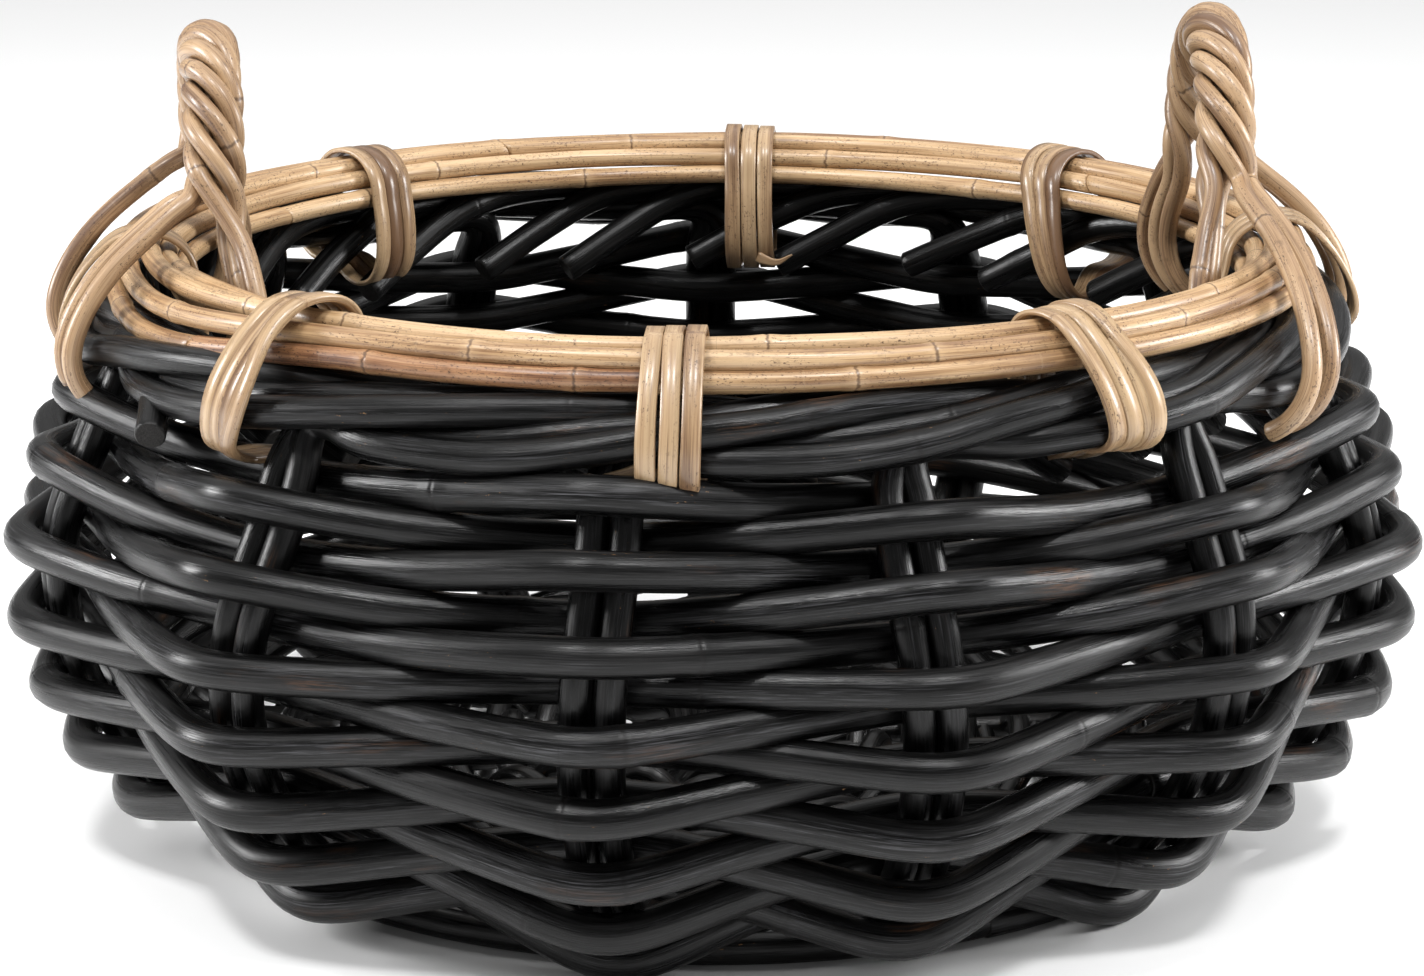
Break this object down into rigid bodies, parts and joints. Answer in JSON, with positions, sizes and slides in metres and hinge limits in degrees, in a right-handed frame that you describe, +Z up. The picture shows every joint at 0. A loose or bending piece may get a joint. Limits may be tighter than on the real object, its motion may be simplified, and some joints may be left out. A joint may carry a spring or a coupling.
{
  "type": "log basket",
  "caption": "Round log basket of thick black woven rattan over paired stakes, with a lashed natural cane rim and two rope-twisted cane handles.",
  "frame": {"origin": "on the ground, in the middle of the base", "axes": "+Z up through the mouth, -Y the front, the two handles stand on -X and +X"},
  "size_m": [0.595, 0.595, 0.3423],
  "materials": {
    "black_rattan": "semi-gloss black lacquered rattan core with a fine lengthwise grain",
    "base_rattan": "satin black rattan",
    "rim_cane": "natural golden cane skin, satin, with dark node rings and brown mottling",
    "brown_cane": "natural brown-skinned cane, satin",
    "split_cane": "glossy natural split cane",
    "handle_cane": "natural cane, satin, slightly greyed"
  },
  "bodies": {
    "root": {"weaver_1": "black_rattan", "weaver_2": "black_rattan", "weaver_3": "black_rattan", "weaver_4": "black_rattan", "weaver_5": "black_rattan", "weaver_6": "black_rattan", "weaver_7": "black_rattan", "weaver_8": "black_rattan", "weaver_9": "black_rattan", "weaver_10": "black_rattan", "weaver_11": "black_rattan", "weaver_12": "black_rattan", "weaver_13": "black_rattan", "stake_pair_1": "black_rattan", "stake_pair_2": "black_rattan", "stake_pair_3": "black_rattan", "stake_pair_4": "black_rattan", "stake_pair_5": "black_rattan", "stake_pair_6": "black_rattan", "stake_pair_7": "black_rattan", "stake_pair_8": "black_rattan", "stake_pair_9": "black_rattan", "stake_pair_10": "black_rattan", "stake_pair_11": "black_rattan", "stake_pair_12": "black_rattan", "stake_pair_13": "black_rattan", "foot_ring": "base_rattan", "base_sticks_lower": "base_rattan", "base_sticks_upper": "base_rattan", "base_rounds_lower": "base_rattan", "base_rounds_upper": "base_rattan", "rim_cane_outer": "brown_cane", "rim_cane_top_outer": "rim_cane", "rim_cane_top_inner": "rim_cane", "rim_cane_inner": "rim_cane", "rim_cane_inner_low": "rim_cane", "binding_front": "split_cane", "binding_front_right": "split_cane", "binding_back_right": "split_cane", "binding_back": "split_cane", "binding_back_left": "split_cane", "binding_front_left": "split_cane", "left_handle_strand_1": "handle_cane", "left_handle_strand_2": "handle_cane", "left_handle_strand_3": "handle_cane", "left_handle_strand_4": "handle_cane", "left_handle_strand_5": "handle_cane", "right_handle_strand_1": "handle_cane", "right_handle_strand_2": "handle_cane", "right_handle_strand_3": "handle_cane", "right_handle_strand_4": "handle_cane", "right_handle_strand_5": "handle_cane", "left_handle_wraps": "split_cane", "right_handle_wraps": "split_cane"}
  },
  "joints": []
}
